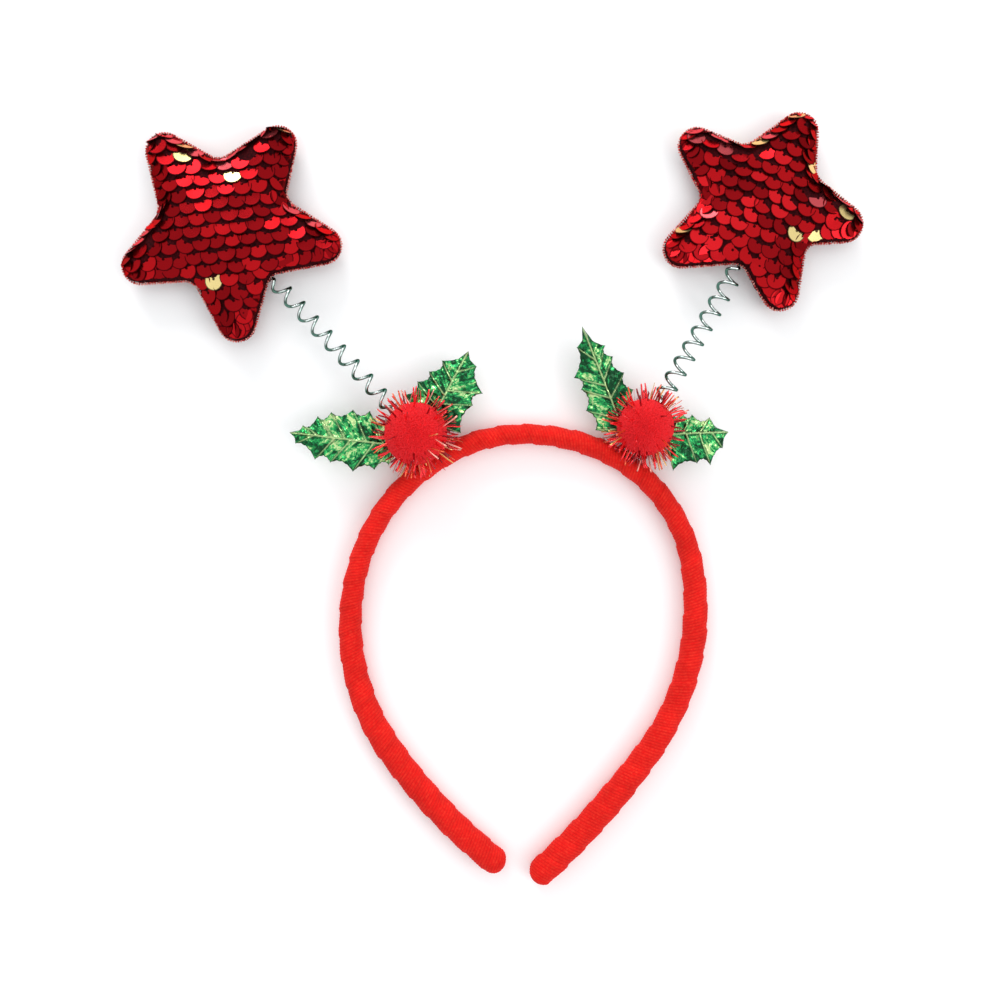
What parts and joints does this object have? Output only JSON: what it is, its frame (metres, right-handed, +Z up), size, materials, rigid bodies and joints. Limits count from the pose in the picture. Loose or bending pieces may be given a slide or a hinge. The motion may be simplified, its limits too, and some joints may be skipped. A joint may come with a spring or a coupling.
{
  "type": "christmas headband",
  "caption": "Party headband: a hoop wound with red ribbon, with stuffed sequin stars on coil springs, red pompoms over the springs' feet and holly leaves.",
  "frame": {"origin": "on the table, under the middle of the whole headband's box", "axes": "+Z up from the table, +Y from the tips of the hoop to its crown and the stars, +X to the right as seen from above"},
  "size_m": [0.2816, 0.2936, 0.0264],
  "materials": {
    "red_ribbon": "matt knitted ribbon",
    "spring_wire": "bright drawn wire",
    "red_sequins": "glossy sequin cloth",
    "red_tinsel": "dense foil strands",
    "green_foil": "embossed glitter foil cloth"
  },
  "bodies": {
    "root": {"band": "red_ribbon", "left_spring": "spring_wire", "right_spring": "spring_wire", "left_star": "red_sequins", "right_star": "red_sequins", "left_pompom": "red_tinsel", "right_pompom": "red_tinsel", "left_leaf_outer": "green_foil", "left_leaf_inner": "green_foil", "right_leaf_outer": "green_foil", "right_leaf_inner": "green_foil"}
  },
  "joints": []
}
